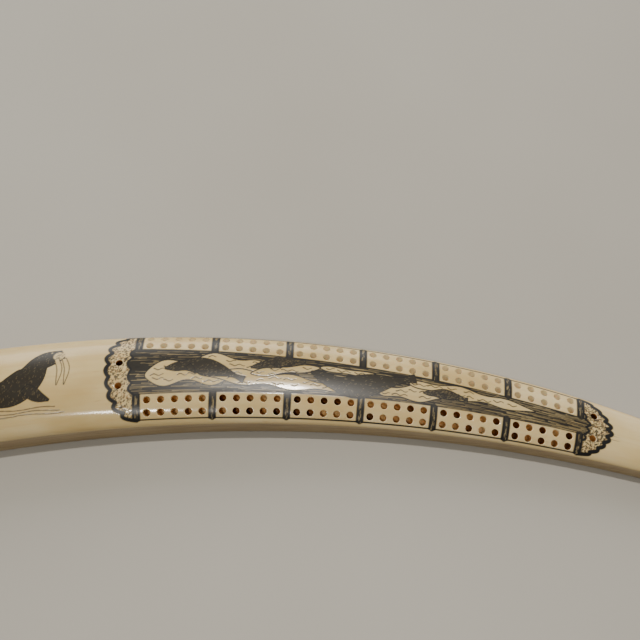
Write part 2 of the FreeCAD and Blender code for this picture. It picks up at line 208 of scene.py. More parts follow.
# ---------------------------------------------------------------------------------------------------
# Engraving: ink is painted on the unrolled top as a number for each point of the fine grid.


class Engraving:
    """Ink and brown stain on the unrolled top, each a grid of numbers from 0 to 1."""

    def __init__(self, along, turns):
        self.along = along
        self.across = crown_length(along[:, None], turns[None, :])
        self.ink = np.zeros(self.across.shape)
        self.stain = np.zeros(self.across.shape)
        self.random = np.random.default_rng(SEED)

    def window(self, low, high, pad):
        """Slices of the grid that cover a box of the unrolled top."""
        rows = slice(*np.searchsorted(self.along, [low[0] - pad, high[0] + pad]))
        if rows.start >= rows.stop:
            return None
        first = self.across[rows.start]
        last = self.across[rows.stop - 1]
        start = min(np.searchsorted(first, low[1] - pad), np.searchsorted(last, low[1] - pad))
        stop = max(np.searchsorted(first, high[1] + pad), np.searchsorted(last, high[1] + pad))
        if start >= stop:
            return None
        return rows, slice(start, stop)

    def distance(self, window, a, b):
        """Distance of the window's points to the segment a-b, and the place along it from 0 to 1."""
        rows, columns = window
        x = self.along[rows, None] - a[0]
        y = self.across[rows, columns] - a[1]
        run = b - a
        length = max(float(run @ run), 1e-9)
        t = np.clip((x * run[0] + y * run[1]) / length, 0, 1)
        return np.hypot(x - t * run[0], y - t * run[1]), t

    def stroke(self, path, width, value=1.0, end_width=None, soft=0.22, layer="ink", cut=False):
        """A line along an unrolled path, which darkens it, or lightens it where it is cut."""
        last = width if end_width is None else end_width
        widths = np.linspace(width, last, len(path))
        pad = max(width, last) / 2 + soft
        for number in range(len(path) - 1):
            a, b = path[number], path[number + 1]
            window = self.window(np.minimum(a, b), np.maximum(a, b), pad)
            if window is None:
                continue
            gap, t = self.distance(window, a, b)
            half = (widths[number] + (widths[number + 1] - widths[number]) * t) / 2
            cover = np.clip((half - gap) / soft + 0.5, 0, 1)
            target = getattr(self, layer)[window]
            if cut:
                np.minimum(target, 1 - cover * (1 - value), out=target)
            else:
                np.maximum(target, cover * value, out=target)

    def inside(self, outline, window):
        """True for the window's points inside a closed unrolled outline."""
        rows, columns = window
        x = self.along[rows, None] + np.zeros_like(self.across[window])
        y = self.across[window]
        result = np.zeros(x.shape, bool)
        for a, b in zip(outline, np.roll(outline, -1, 0)):
            crosses = (a[1] > y) != (b[1] > y)
            rise = b[1] - a[1] if b[1] != a[1] else 1e-9
            result ^= crosses & (x < (b[0] - a[0]) * (y - a[1]) / rise + a[0])
        return result

    def fill(self, outline, value, soft=0.25):
        """A closed unrolled outline filled with one tone."""
        window = self.window(outline.min(0), outline.max(0), soft)
        if window is None:
            return
        gap = np.full(self.across[window].shape, 1e9)
        for a, b in zip(outline, np.roll(outline, -1, 0)):
            gap = np.minimum(gap, self.distance(window, a, b)[0])
        signed = np.where(self.inside(outline, window), gap, -gap)
        self.ink[window] += np.clip(signed / soft + 0.5, 0, 1) * (value - self.ink[window])

    def sample(self, layer, along, turn):
        """A layer's value between the grid's points; bare outside the fine grid."""
        grid = getattr(self, layer)
        row = np.clip((along - self.along[0]) / FINE_STEP, 0, len(self.along) - 1.001)
        column = np.clip(np.interp(turn, TURNS, np.arange(len(TURNS))), 0, len(TURNS) - 1.001)
        r, c = row.astype(int), column.astype(int)
        v, u = row - r, column - c
        low = grid[r, c] * (1 - u) + grid[r, c + 1] * u
        high = grid[r + 1, c] * (1 - u) + grid[r + 1, c + 1] * u
        return low * (1 - v) + high * v

    def place_in(self, outline):
        """A random place of the outline's box, or None if it is outside the outline."""
        place = outline.min(0) + self.random.random(2) * np.ptp(outline, 0)
        return place if self.contains(outline, place) else None

    def contains(self, outline, place):
        """Is a single unrolled place inside the outline?"""
        result = False
        for a, b in zip(outline, np.roll(outline, -1, 0)):
            if (a[1] > place[1]) != (b[1] > place[1]):
                if place[0] < (b[0] - a[0]) * (place[1] - a[1]) / (b[1] - a[1]) + a[0]:
                    result = not result
        return result


# Engraved figures. All are generic: a backbone with half widths, a lens, an arch or a wave.

# Edges of the end caps, as reach, share of the border, number of lobes and their depth.
CAP_OUTER = (12.5, 1.02, 9, 1.9)
CAP_INNER = (2.6, 0.46, 4, 1.7)

# Lines of a divider, as offset, width and tone.
DIVIDER_LINES = ((0, 2.4, 0.97), (-1.25, 1.2, 1.0), (1.25, 1.2, 1.0))

# Half widths of a seal from tail to nose and of its flipper, as shares of the seal's length.
SEAL_WIDTHS = (0.050, 0.028, 0.050, 0.085, 0.110, 0.118, 0.100, 0.070, 0.058, 0.012)
FLIPPER_WIDTHS = (0.040, 0.035, 0.008)
FLIPPER_REACH = (0.10, -0.11)

# Lean of the hairs from the board's length, in radians.
SEAL_LEAN = 0.3
WALRUS_LEAN = 1.3

# Seals' backbones from tail to nose, as (along, share of the band).
SEALS = (
    [(-55.0, -0.40), (-66.0, 0.00), (-78.0, 0.22), (-91.0, 0.05)],
    [(-27.0, 0.85), (-38.0, 0.66), (-52.0, 0.22)],
    [(25.0, 0.80), (9.0, 0.10), (-7.0, -0.40), (-24.0, 0.25)],
    [(50.0, -0.10), (40.0, 0.02), (29.0, -0.14)],
)

# Floes, as start, end, share of the band in the middle and at the end, half width and edge beats.
FLOES = (
    (-100.0, -46.0, 0.05, 0.34, 0.62, 7),
    (-76.0, -6.0, -0.38, -0.62, 0.34, 9),
    (-52.0, -20.0, 0.22, 0.52, 0.22, 5),
    (-20.0, 10.0, 0.50, 0.44, 0.20, 4),
    (8.0, 48.0, -0.20, 0.10, 0.52, 6),
    (22.0, 82.0, 0.30, 0.20, 0.46, 8),
)

# The walrus's backbone from tail to snout as (along, share), and its half widths in millimetres.
WALRUS_SPINE = [
    (-187.0, -0.34), (-172.0, -0.28), (-159.0, -0.27), (-150.0, -0.04), (-145.5, 0.22), (-136.5, 0.37),
]
WALRUS_WIDTHS = (1.0, 3.4, 4.6, 5.6, 6.8, 6.8, 5.4, 4.3, 4.2, 2.6)


def figure(backbone, half_widths):
    """Closed outline round a curved backbone of unrolled points."""
    spine = smooth(backbone, 9)
    ahead = np.gradient(spine, axis=0)
    ahead /= np.linalg.norm(ahead, axis=1)[:, None]
    square = np.stack([-ahead[:, 1], ahead[:, 0]], 1)
    profile = smooth(np.stack([np.linspace(0, 1, len(half_widths)), half_widths], 1))
    half = np.interp(np.linspace(0, 1, len(spine)), profile[:, 0], profile[:, 1])[:, None]
    return np.concatenate([spine + square * half, (spine - square * half)[::-1]])


def floe(start, end, middle_share, end_share, half, beats):
    """A long lens of ice with a wavering edge."""
    turn = np.linspace(0, 2 * math.pi, 100, endpoint=False)
    reach = np.cos(turn)
    edge = half * np.sin(turn) * (1 + 0.30 * np.sin(beats * reach + start))
    share = np.clip(middle_share + (end_share - middle_share) * reach + edge, -0.96, 0.96)
    along = (start + end) / 2 + (end - start) / 2 * reach
    return flat(in_band(np.stack([along, share], 1)))


def cap_edge(outward, reach, span, lobes, depth):
    """A scalloped arch beyond one end of the hole field; outward is -1 at the butt and 1 at the tip."""
    place = np.linspace(-1, 1, 20 * lobes)
    arch = reach * np.cos(place * math.pi / 2) ** 0.75
    scallop = depth * np.abs(np.sin(lobes * math.pi / 2 * (place + 1)))
    uneven = 1 + 0.3 * np.sin(5 * place + outward)
    return flat(np.stack([outward * (FIELD_HALF + arch + scallop * uneven), place * span], 1))


def closed(edge):
    return np.concatenate([edge, edge[:1]])


def engrave_water(art):
    """The dark band: a wash of ink with long dark and light strokes along the board."""
    low, high = -FIELD_HALF - WATER_PAST_FIELD, FIELD_HALF + WATER_PAST_FIELD
    path = np.linspace(low, high, 60)
    edge = np.concatenate([
        flat(in_band([(a, 1.0) for a in path])), flat(in_band([(a, -1.0) for a in path[::-1]])),
    ])
    art.fill(edge, 0.98)
    random = art.random
    for share in np.arange(-0.97, 0.98, 0.045):
        along = low + random.uniform(0, 6)
        while along < high:
            length = random.uniform(4, 17)
            drift = random.uniform(-0.03, 0.03)
            middle = share + random.uniform(-0.02, 0.02)
            places = [(along + length * t, middle + drift * math.sin(3 * t)) for t in (0, 0.33, 0.66, 1)]
            if random.random() < 0.42:
                width = random.uniform(0.16, 0.28)
                art.stroke(flat(in_band(places)), width, random.uniform(0.35, 0.65), end_width=0.1, cut=True)
            else:
                width = random.uniform(0.26, 0.48)
                art.stroke(flat(in_band(places)), width, random.uniform(0.96, 1.0), end_width=0.1)
            along += length * random.uniform(0.75, 1.15)


def engrave_lines(art):
    """Borders of the hole field, edges of the band and the seven dividers."""
    path = np.linspace(-FIELD_HALF, FIELD_HALF, 90)
    for side in (-1, 1):
        art.stroke(flat([(a, side) for a in path]), 0.74, 1.0)
        art.stroke(flat(in_band([(a, side) for a in path])), 0.46, 1.0)
    for number in range(PANELS + 1):
        engrave_divider(art, (number / PANELS * 2 - 1) * FIELD_HALF)


def engrave_divider(art, along):
    """Two heavy lines with a scratched dark strip between them, on both sides of the band."""
    for side in (-1, 1):
        shares = np.linspace(float(band_share(along, 1.0)), 1.0, 12) * side
        for offset, width, value in DIVIDER_LINES:
            art.stroke(flat([(along + offset, share) for share in shares]), width, value)
        for _ in range(12):
            start = along + art.random.uniform(-0.6, 0.6)
            share = art.random.uniform(min(shares), max(shares))
            places = [(start, share), (start + art.random.uniform(-0.2, 0.2), share + side * 0.09)]
            art.stroke(flat(places), 0.2, 0.5, cut=True)


def engrave_cap(art, outward):
    """Scalloped end of the field: heavy outlines and a stippled rim with brown specks."""
    outer_edge = cap_edge(outward, *CAP_OUTER)
    inner_edge = cap_edge(outward, *CAP_INNER)
    rim = np.concatenate([outer_edge, inner_edge[::-1]])
    art.fill(rim, 0.0)
    for _ in range(1100):
        place = art.place_in(rim)
        if place is None:
            continue
        lean = art.random.normal(0.9, 0.7)
        reach = art.random.uniform(0.02, 0.40) * np.array([math.cos(lean), math.sin(lean)])
        layer = "stain" if art.random.random() < 0.30 else "ink"
        width = art.random.uniform(0.30, 0.62)
        value = art.random.uniform(0.75, 1.0)
        art.stroke(np.array([place - reach, place + reach]), width, value, layer=layer)
    art.stroke(inner_edge, 1.3, 1.0, soft=0.35)
    art.stroke(outer_edge, 1.9, 1.0, soft=0.35)


def wavy_lines(art, outline, spacing):
    """Wavy lines along the board inside an outline, clear of its edge and of each other."""
    drawn = []
    for _ in range(900):
        place = art.place_in(outline)
        run = art.random.uniform(3.0, 8.0)
        wave = art.random.uniform(0, 6)
        if place is None or any(
            abs(across - place[1]) < spacing and start - run < place[0] < start + reach
            for start, across, reach in drawn
        ):
            continue
        steps = np.linspace(0, run, 16)
        points = np.stack([place[0] + steps, place[1] + 0.40 * np.sin(wave + 1.5 * steps)], -1)
        margin = np.array([0, 0.7])
        if all(art.contains(outline, p + m) for p in points[::3] for m in (margin, -margin)):
            art.stroke(points, 0.52, 1.0, end_width=0.34)
            drawn.append((*place, run + 1.0))


def engrave_hide(art, edge, lean, hairs):
    """A dark animal body: solid ink, fine hairs at a lean and a crisp outline."""
    art.fill(edge, 0.97)
    for _ in range(hairs):
        place = art.place_in(edge)
        angle = art.random.normal(lean, 0.45)
        reach = art.random.uniform(0.3, 1.1) * np.array([math.cos(angle), math.sin(angle)])
        if place is not None and art.contains(edge, place + reach):
            value = art.random.uniform(0.6, 0.88)
            art.stroke(np.array([place, place + reach]), 0.16, value, end_width=0.06, cut=True)
    art.stroke(closed(edge), 0.5, 1.0)


def engrave_seal(art, backbone):
    """A resting seal with one fore flipper."""
    spine = flat(in_band(backbone))
    length = np.linalg.norm(spine[-1] - spine[0])
    engrave_hide(art, figure(spine, length * np.array(SEAL_WIDTHS)), SEAL_LEAN, 260)
    chest = smooth(spine, 9)[-8]
    flipper_spine = np.array([chest, chest + length * np.array(FLIPPER_REACH)])
    engrave_hide(art, figure(flipper_spine, length * np.array(FLIPPER_WIDTHS)), SEAL_LEAN, 12)


def engrave_picture(art):
    """Drift ice with four seals in the dark water of the band."""
    for terms in FLOES:
        edge = floe(*terms)
        art.fill(edge, 0.02)
        wavy_lines(art, edge, 1.9)
        art.stroke(closed(edge), 0.60, 1.0)
    for backbone in SEALS:
        engrave_seal(art, backbone)


def engrave_walrus(art):
    """A walrus beside the butt cap, over three ripples of water."""
    engrave_hide(art, figure(flat(WALRUS_SPINE), WALRUS_WIDTHS), WALRUS_LEAN, 700)
    flipper = flat([(-152.0, -0.20), (-146.5, -0.36), (-141.5, -0.44)])
    engrave_hide(art, figure(flipper, (2.2, 2.8, 1.9, 0.4)), WALRUS_LEAN, 60)
    muzzle = figure(flat([(-140.5, 0.30), (-135.5, 0.37)]), (0.6, 2.0, 2.4, 1.8, 0.4))
    art.fill(muzzle, 0.15)
    for _ in range(40):
        place = art.place_in(muzzle)
        if place is not None:
            art.stroke(np.array([place, place + (0.5, 0.2)]), 0.2, 0.9)
    for start in (-139.0, -135.8):
        spine = flat([(start, 0.27), (start + 1.6, 0.06), (start + 0.6, -0.20)])
        tusk = figure(spine, (0.9, 1.1, 0.9, 0.15))
        art.fill(tusk, 0.0)
        art.stroke(closed(tusk), 0.36, 0.95)
    eye = flat([(-141.5, 0.42)])[0]
    art.stroke(np.array([eye, eye + (0.1, 0.0)]), 0.7, 0.25, cut=True)
    for number in range(3):
        ripple = np.linspace(-186.0, -139.0 + 2 * number, 40)
        height = -0.56 - 0.055 * number + 0.014 * np.sin(ripple / 3.4 + number)
        art.stroke(flat(np.stack([ripple, height], 1)), 0.40, 0.95)


def engrave(along, turns):
    art = Engraving(along, turns)
    engrave_water(art)
    engrave_picture(art)
    for outward in (-1, 1):
        engrave_cap(art, outward)
    engrave_lines(art)
    engrave_walrus(art)
    return art


# ---------------------------------------------------------------------------------------------------
# The tusk's mesh: a grid of rows along the tusk and columns round its section, with the holes let in.


def crown_turns():
    """Turns of the crown's columns, evenly spaced over the middle section."""
    dense = np.linspace(-math.pi / 2, math.pi / 2, 2001)
    length = np.concatenate([[0], np.cumsum(arc_speed(0.0, (dense[1:] + dense[:-1]) / 2))])
    return np.interp(np.linspace(0, length[-1], CROWN_COLUMNS), length, dense)


TURNS = crown_turns()
WALL_SHARES = np.linspace(0, 1, 8)[1:]
BEVEL_TURNS = np.radians([30.0, 60.0, 90.0])
SOLE_SHARES = np.linspace(1, -1, 16)[1:]


def section(along, scale=1.0, base=0.0):
    """Side offsets and heights round one section, from the near edge of the crown over the top."""
    wide = taper(HALF_WIDTH, along) * scale
    high = taper(CROWN_HEIGHT, along) * scale
    top = base + (taper(WALL_HEIGHT, along) - base) * scale
    bevel = SOLE_BEVEL * scale
    side = [wide * np.sin(TURNS)]
    height = [top + high * np.cos(TURNS)]
    side.append(np.full(len(WALL_SHARES), wide))
    height.append(top + (base + bevel - top) * WALL_SHARES)
    side.append(wide - bevel * (1 - np.cos(BEVEL_TURNS)))
    height.append(base + bevel * (1 - np.sin(BEVEL_TURNS)))
    side.append((wide - bevel) * SOLE_SHARES)
    height.append(np.full(len(SOLE_SHARES), base))
    rising = BEVEL_TURNS[::-1][1:]
    side.append(-(wide - bevel * (1 - np.cos(rising))))
    height.append(base + bevel * (1 - np.sin(rising)))
    side.append(np.full(len(WALL_SHARES), -wide))
    height.append(top + (base + bevel - top) * WALL_SHARES[::-1])
    return np.concatenate(side), np.concatenate(height)


def place_section(along, side, height):
    point, across = on_spine(along)
    flat_points = point + across * side[:, None]
    return np.concatenate([flat_points, height[:, None]], 1)


def shrink(side, height, inset):
    """A section's outline moved inwards by an inset."""
    run = np.stack([np.roll(side, -1) - np.roll(side, 1), np.roll(height, -1) - np.roll(height, 1)])
    run /= np.linalg.norm(run, axis=0)
    return side + run[1] * inset, height - run[0] * inset


def tusk_rows():
    """Points of all rows, with their distance along the tusk, from the peg store's floor to the tip."""
    rows = []
    stations = []
    butt = -HALF_LENGTH
    side, height = section(butt)
    heading = np.arctan2(height - STORE_HEIGHT, side)
    _, across = on_spine(butt)
    inward = np.array([across[1], -across[0], 0.0])

    def add(points, station):
        rows.append(points)
        stations.append(station)

    for depth in STORE_RING_DEPTHS:
        for radius in ((STORE_FLOOR_RING, STORE_RADIUS) if depth == STORE_DEPTH else (STORE_RADIUS,)):
            ring = place_section(butt, radius * np.cos(heading), STORE_HEIGHT + radius * np.sin(heading))
            add(ring + inward * depth, butt + depth)
    mouth = STORE_RADIUS + STORE_MOUTH_BEVEL
    face_side, face_height = shrink(side, height, BUTT_ROUND)
    for share in np.linspace(0, 1, FACE_ROWS):
        ring_side = mouth * np.cos(heading) * (1 - share) + face_side * share
        ring_height = (STORE_HEIGHT + mouth * np.sin(heading)) * (1 - share) + face_height * share
        add(place_section(butt, ring_side, ring_height), butt)
    for angle in np.radians([22.5, 45.0, 67.5, 90.0]):
        ring_side, ring_height = shrink(side, height, BUTT_ROUND * (1 - math.sin(angle)))
        along = butt + BUTT_ROUND * (1 - math.cos(angle))
        add(place_section(along, ring_side, ring_height), along)
    shaft_end = HALF_LENGTH - TIP_LENGTH
    first_row = len(rows)
    coarse_low = np.arange(butt + COARSE_STEP, FINE_FROM - 0.5, COARSE_STEP)
    fine = np.arange(FINE_FROM, FINE_TO, FINE_STEP)
    coarse_high = np.arange(fine[-1] + COARSE_STEP, shaft_end - 0.5, COARSE_STEP)
    for along in np.concatenate([coarse_low, fine, coarse_high, [shaft_end]]):
        add(place_section(along, *section(along)), along)
    for angle in np.radians(np.linspace(0, TIP_END_DEG, 14)[1:]):
        along = shaft_end + TIP_LENGTH * math.sin(angle)
        base = max(0.0, TIP_RISE * (1 - math.cos(angle)) - SOLE_ALLOWANCE * math.cos(angle))
        shape = section(along, math.cos(angle), base)
        add(place_section(along, *shape), along)
    return np.array(rows), np.array(stations), first_row + len(coarse_low), fine


def patch_loop(row, column, rows_out, columns_out):
    """(row, column) of the grid points round a rectangle, in order."""
    low_row, high_row = row - rows_out, row + rows_out
    low, high = column - columns_out, column + columns_out
    loop = [(r, low) for r in range(low_row, high_row)]
    loop += [(high_row, c) for c in range(low, high)]
    loop += [(r, high) for r in range(high_row, low_row, -1)]
    loop += [(low_row, c) for c in range(high, low, -1)]
    return np.array(loop)


def around_section(rows):
    """Distance of each point from the top line, along its row."""
    lengths = np.linalg.norm(np.diff(rows, axis=1, append=rows[:, :1]), axis=2)
    around = np.cumsum(lengths, axis=1) - lengths
    around -= around[:, [CROWN_COLUMNS // 2]]
    return around.reshape(-1)


class TuskSurface:
    """Points and faces of the visible tusk, and for each point its along, around, bore, ink and stain."""

    def __init__(self):
        self.rows, stations, self.fine_start, self.fine_along = tusk_rows()
        count, columns = self.rows.shape[:2]
        self.art = engrave(self.fine_along, TURNS)
        self.around = around_section(self.rows)
        self.open_cells = np.ones((count - 1, columns), bool)
        self.numbers = np.arange(count * columns).reshape(count, columns)
        self.total = count * columns
        self.points = [self.rows.reshape(-1, 3)]
        self.faces = []
        self.fields = {
            "along": [np.repeat(stations, columns)], "around": [self.around], "bore": [np.zeros(self.total)],
            "ink": [self.spread(self.art.ink)], "stain": [self.spread(self.art.stain)],
        }

    def spread(self, layer):
        """A layer of the engraving as one value for each point of the rows."""
        field = np.zeros(self.rows.shape[:2])
        field[self.fine_start:self.fine_start + len(layer), :CROWN_COLUMNS] = layer
        return field.reshape(-1)

    def add_points(self, points, **values):
        """New points, with their fields where they aren't 0; gives back the points' numbers."""
        self.points.append(points)
        for name, store in self.fields.items():
            store.append(np.zeros(len(points)) + values.get(name, 0.0))
        self.total += len(points)
        return np.arange(self.total - len(points), self.total)

    def let_in_hole(self, along, turn):
        """Clears a patch of the grid and fills it with rings down to the hole's floor."""
        row = int(round((along - self.fine_along[0]) / FINE_STEP))
        column = int(np.abs(TURNS - turn).argmin())
        grid_row = self.fine_start + row
        spacing = np.linalg.norm(self.rows[grid_row, column + 1] - self.rows[grid_row, column])
        rows_out = math.ceil(PATCH_HALF / FINE_STEP)
        columns_out = math.ceil(PATCH_HALF / spacing)
        cleared_rows = slice(grid_row - rows_out, grid_row + rows_out)
        self.open_cells[cleared_rows, column - columns_out:column + columns_out] = False
        cells = patch_loop(row, column, rows_out, columns_out)
        previous = self.numbers[self.fine_start + cells[:, 0], cells[:, 1]]
        around = self.around[previous]
        tint = hole_tint(self.art, along, turn)
        for ring, depth, station, angle in hole_rings(
            self.fine_along[cells[:, 0]], TURNS[cells[:, 1]], along, turn
        ):
            marks = {} if depth > INK_DEPTH else {
                layer: self.art.sample(layer, station, angle) for layer in ("ink", "stain")
            }
            # The bore's colour deepens over the first millimetre of depth: part stain, part painted shade.
            bore_stain_and_painted_light = tint * min(depth, 1.0)
            numbers = self.add_points(ring, along=station, around=around, bore=bore_stain_and_painted_light, **marks)
            self.faces.append(np.stack([previous, np.roll(previous, -1), np.roll(numbers, -1), numbers], 1))
            previous = numbers
        centre = self.add_points(hole_floor(along, turn)[None], along=along, bore=tint).repeat(len(previous))
        self.faces.append(np.stack([previous, np.roll(previous, -1), centre, centre], 1))

    def close(self):
        """Faces between the rows, and fans over the peg store's floor and the tip."""
        ahead = np.roll(self.numbers, -1, axis=1)
        quads = np.stack([self.numbers[:-1], self.numbers[1:], ahead[1:], ahead[:-1]], -1)
        self.faces.insert(0, quads[self.open_cells])
        ends = np.stack([self.rows[0].mean(0), self.rows[-1].mean(0)])
        floor, tip = self.add_points(ends, along=np.array([-HALF_LENGTH, HALF_LENGTH]))
        columns = len(ahead[0])
        self.faces.append(np.stack([np.full(columns, floor), self.numbers[0], ahead[0], ahead[0]], 1))
        self.faces.append(np.stack([self.numbers[-1], np.full(columns, tip), ahead[-1], ahead[-1]], 1))

    def over_rows(self, columns, rows, value, other):
        """One value for each point: the value in some columns and rows, another elsewhere."""
        field = np.full(self.rows.shape[:2], other)
        field[rows, columns] = value
        return np.concatenate([field.reshape(-1), np.full(self.total - field.size, other)])


def hole_tint(art, along, turn):
    """How brown a hole is, part stain and part painted shade: uneven in the near rows, pale as painted light
    in the far ones, dark in the caps.
    """
    if abs(along) > FIELD_HALF:
        return CAP_TINTS[int(turn > 0)]
    if turn > 0.1:
        return art.random.uniform(*FAR_TINTS)
    return art.random.choice(NEAR_TINTS) * art.random.uniform(0.85, 1.05)


def hole_axes(along, turn):
    """Mouth, outward axis and the two directions square to it of a peg hole."""
    centre = crown(along, turn)
    _, across = on_spine(along)
    across = np.array([across[0], across[1], 0.0])
    outward = across * taper(CROWN_HEIGHT, along) * math.sin(turn)
    outward = outward + np.array([0, 0, 1.0]) * taper(HALF_WIDTH, along) * math.cos(turn)
    outward /= np.linalg.norm(outward)
    ahead = np.array([across[1], -across[0], 0.0])
    return centre, outward, ahead, np.cross(outward, ahead)


HOLE_PROFILE = [
    (HOLE_RADIUS + HOLE_BEVEL + 0.12, 0.0), (HOLE_RADIUS + HOLE_BEVEL, 0.0),
    (HOLE_RADIUS + HOLE_BEVEL * 0.66, 0.05), (HOLE_RADIUS + HOLE_BEVEL * 0.25, 0.17),
    (HOLE_RADIUS + 0.02, 0.36), (HOLE_RADIUS, 0.6), (HOLE_RADIUS, 1.4), (HOLE_RADIUS, 3.0),
    (HOLE_RADIUS, 5.0), (HOLE_RADIUS, HOLE_DEPTH - 0.05), (HOLE_RADIUS - 0.05, HOLE_DEPTH),
    (HOLE_RADIUS / 2, HOLE_DEPTH + DRILL_POINT / 2),
]


def hole_rings(loop_along, loop_turn, along, turn):
    """Rings from the edge of the cleared patch to the hole's floor: points, depth, along, turn."""
    centre, outward, ahead, sideways = hole_axes(along, turn)
    arms = crown(loop_along, loop_turn) - centre
    heading = np.arctan2(arms @ sideways, arms @ ahead)
    radial = np.cos(heading)[:, None] * ahead + np.sin(heading)[:, None] * sideways
    stretch = 1 + taper(HALF_WIDTH, along) * math.sin(turn) / ARC_RADIUS
    speed = arc_speed(along, turn)
    rings = []
    for radius, depth in HOLE_PROFILE:
        station = along + radius * np.cos(heading) / stretch
        angle = turn + radius * np.sin(heading) / speed
        surface = crown(station, angle)
        if not rings:
            for share in (0.3, 0.6, 0.85):
                between = loop_along * (1 - share) + station * share
                lean = loop_turn * (1 - share) + angle * share
                rings.append((crown(between, lean), 0.0, between, lean))
        if depth == 0.0:
            rings.append((surface, 0.0, station, angle))
            continue
        rise = (surface - centre) @ outward * max(0.0, 1 - depth / 1.5)
        rings.append((centre + radial * radius + outward * (rise - depth)[:, None], depth, station, angle))
    return rings


def hole_floor(along, turn):
    centre, outward, _, _ = hole_axes(along, turn)
    return centre - outward * (HOLE_DEPTH + DRILL_POINT)


def make_tusk():
    """The visible tusk as one closed mesh, with its ink, stain and grain stored on the points."""
    surface = TuskSurface()
    for place in hole_places():
        surface.let_in_hole(*place)
    surface.close()
    points = np.concatenate(surface.points)
    fields = {name: np.concatenate(parts) for name, parts in surface.fields.items()}
    piece = mesh_piece("tusk_ivory", points, np.concatenate(surface.faces))
    grain = np.stack([fields["along"], fields["around"], points[:, 2]], -1) * MM
    store_attribute(piece.data, "grain", grain, "FLOAT_VECTOR")
    for name in ("ink", "stain", "bore"):
        store_attribute(piece.data, name, fields[name])
    # The side field marks the walls and sole, which the material paints dark brown as painted shade and
    # makes rougher.
    below_crown = slice(CROWN_COLUMNS, None)
    store_attribute(piece.data, "side", surface.over_rows(below_crown, slice(None), 1.0, 0.0))
    face = slice(STORE_ROWS, STORE_ROWS + FACE_ROWS)
    layers = np.linspace(0, 1, FACE_ROWS)[:, None]
    store_attribute(piece.data, "layer", surface.over_rows(slice(None), face, layers, -1.0))
    return piece


def store_attribute(mesh, name, values, kind="FLOAT"):
    attribute = mesh.attributes.new(name, kind, "POINT")
    key = "vector" if kind == "FLOAT_VECTOR" else "value"
    attribute.data.foreach_set(key, np.asarray(values, np.float32).reshape(-1))


def mesh_piece(name, points, faces):
    """A smooth mesh object from millimetre points and faces of three or four corners.

    A row whose last two corners are the same is a triangle.
    """
    faces = np.asarray(faces)
    triangle = faces[:, 2] == faces[:, 3]
    sizes = np.where(triangle, 3, 4)
    keep = np.ones(faces.shape, bool)
    keep[triangle, 3] = False
    corners = faces[keep]
    starts = np.concatenate([[0], np.cumsum(sizes)[:-1]])
    mesh = bpy.data.meshes.new(name)
    mesh.vertices.add(len(points))
    mesh.vertices.foreach_set("co", (points * MM).astype(np.float32).reshape(-1))
    mesh.loops.add(len(corners))
    mesh.loops.foreach_set("vertex_index", corners.astype(np.int32))
    mesh.polygons.add(len(faces))
    mesh.polygons.foreach_set("loop_start", starts.astype(np.int32))
    mesh.polygons.foreach_set("use_smooth", np.ones(len(faces), bool))
    mesh.update(calc_edges=True)
    mesh.validate()
    piece = bpy.data.objects.new(name, mesh)
    bpy.context.scene.collection.objects.link(piece)
    return piece


# ---------------------------------------------------------------------------------------------------
# Materials

IVORY = (0.600, 0.455, 0.215)
IVORY_WARM = (0.520, 0.375, 0.155)
IVORY_PALE = (0.650, 0.520, 0.285)
FLOOR_SHADE = (0.375, 0.350, 0.296)
FLOOR_LIGHT = (0.420, 0.397, 0.345)
FLOOR_GAP = 0.0002


class Nodes:
    """Short way to build a node tree around a Principled shader."""

    def __init__(self, name):
        self.material = bpy.data.materials.new(name)
        self.material.use_nodes = True
        self.tree = self.material.node_tree
        self.shader = self.tree.nodes["Principled BSDF"]

    def add(self, kind, inputs=(), **settings):
        node = self.tree.nodes.new(kind)
        for key, value in settings.items():
            setattr(node, key, value)
        for key, value in dict(inputs).items():
            self.put(node.inputs[key], value)
        return node

    def put(self, socket, value):
        if isinstance(value, bpy.types.NodeSocket):
            self.tree.links.new(value, socket)
        else:
            socket.default_value = value

    def attribute(self, name, output="Fac"):
        return self.add("ShaderNodeAttribute", attribute_name=name).outputs[output]

    def math(self, operation, a, b=0.0):
        node = self.add("ShaderNodeMath", operation=operation)
        self.put(node.inputs[0], a)
        self.put(node.inputs[1], b)
        return node.outputs[0]

    def noise(self, vector, scale, stretch=(1, 1, 1), detail=4.0, roughness=0.5):
        mapping = self.add("ShaderNodeMapping", {"Vector": vector, "Scale": stretch})
        node = self.add("ShaderNodeTexNoise", {
            "Vector": mapping.outputs[0], "Scale": scale, "Detail": detail, "Roughness": roughness,
        })
        return node.outputs["Fac"]

    def ramp(self, value, stops):
        node = self.add("ShaderNodeValToRGB", {"Fac": value})
        elements = node.color_ramp.elements
        while len(elements) < len(stops):
            elements.new(0.5)
        for element, (position, colour) in zip(elements, stops):
            element.position = position
            element.color = (*colour, 1.0)
        return node.outputs["Color"]

    def ramp_value(self, value, low, high):
        """0 below low, 1 above high."""
        node = self.add("ShaderNodeMapRange", {"Value": value, "From Min": low, "From Max": high})
        return node.outputs["Result"]

    def mix(self, share, a, b, blend="MIX"):
        node = self.add("ShaderNodeMix", data_type="RGBA", blend_type=blend)
        self.put(node.inputs["Factor"], share)
        self.put(node.inputs[6], a if isinstance(a, bpy.types.NodeSocket) else (*a, 1.0))
        self.put(node.inputs[7], b if isinstance(b, bpy.types.NodeSocket) else (*b, 1.0))
        return node.outputs[2]

    def bump(self, height, strength, distance, normal=None):
        node = self.add("ShaderNodeBump", {"Height": height, "Strength": strength, "Distance": distance})
        if normal is not None:
            self.put(node.inputs["Normal"], normal)
        return node.outputs[0]


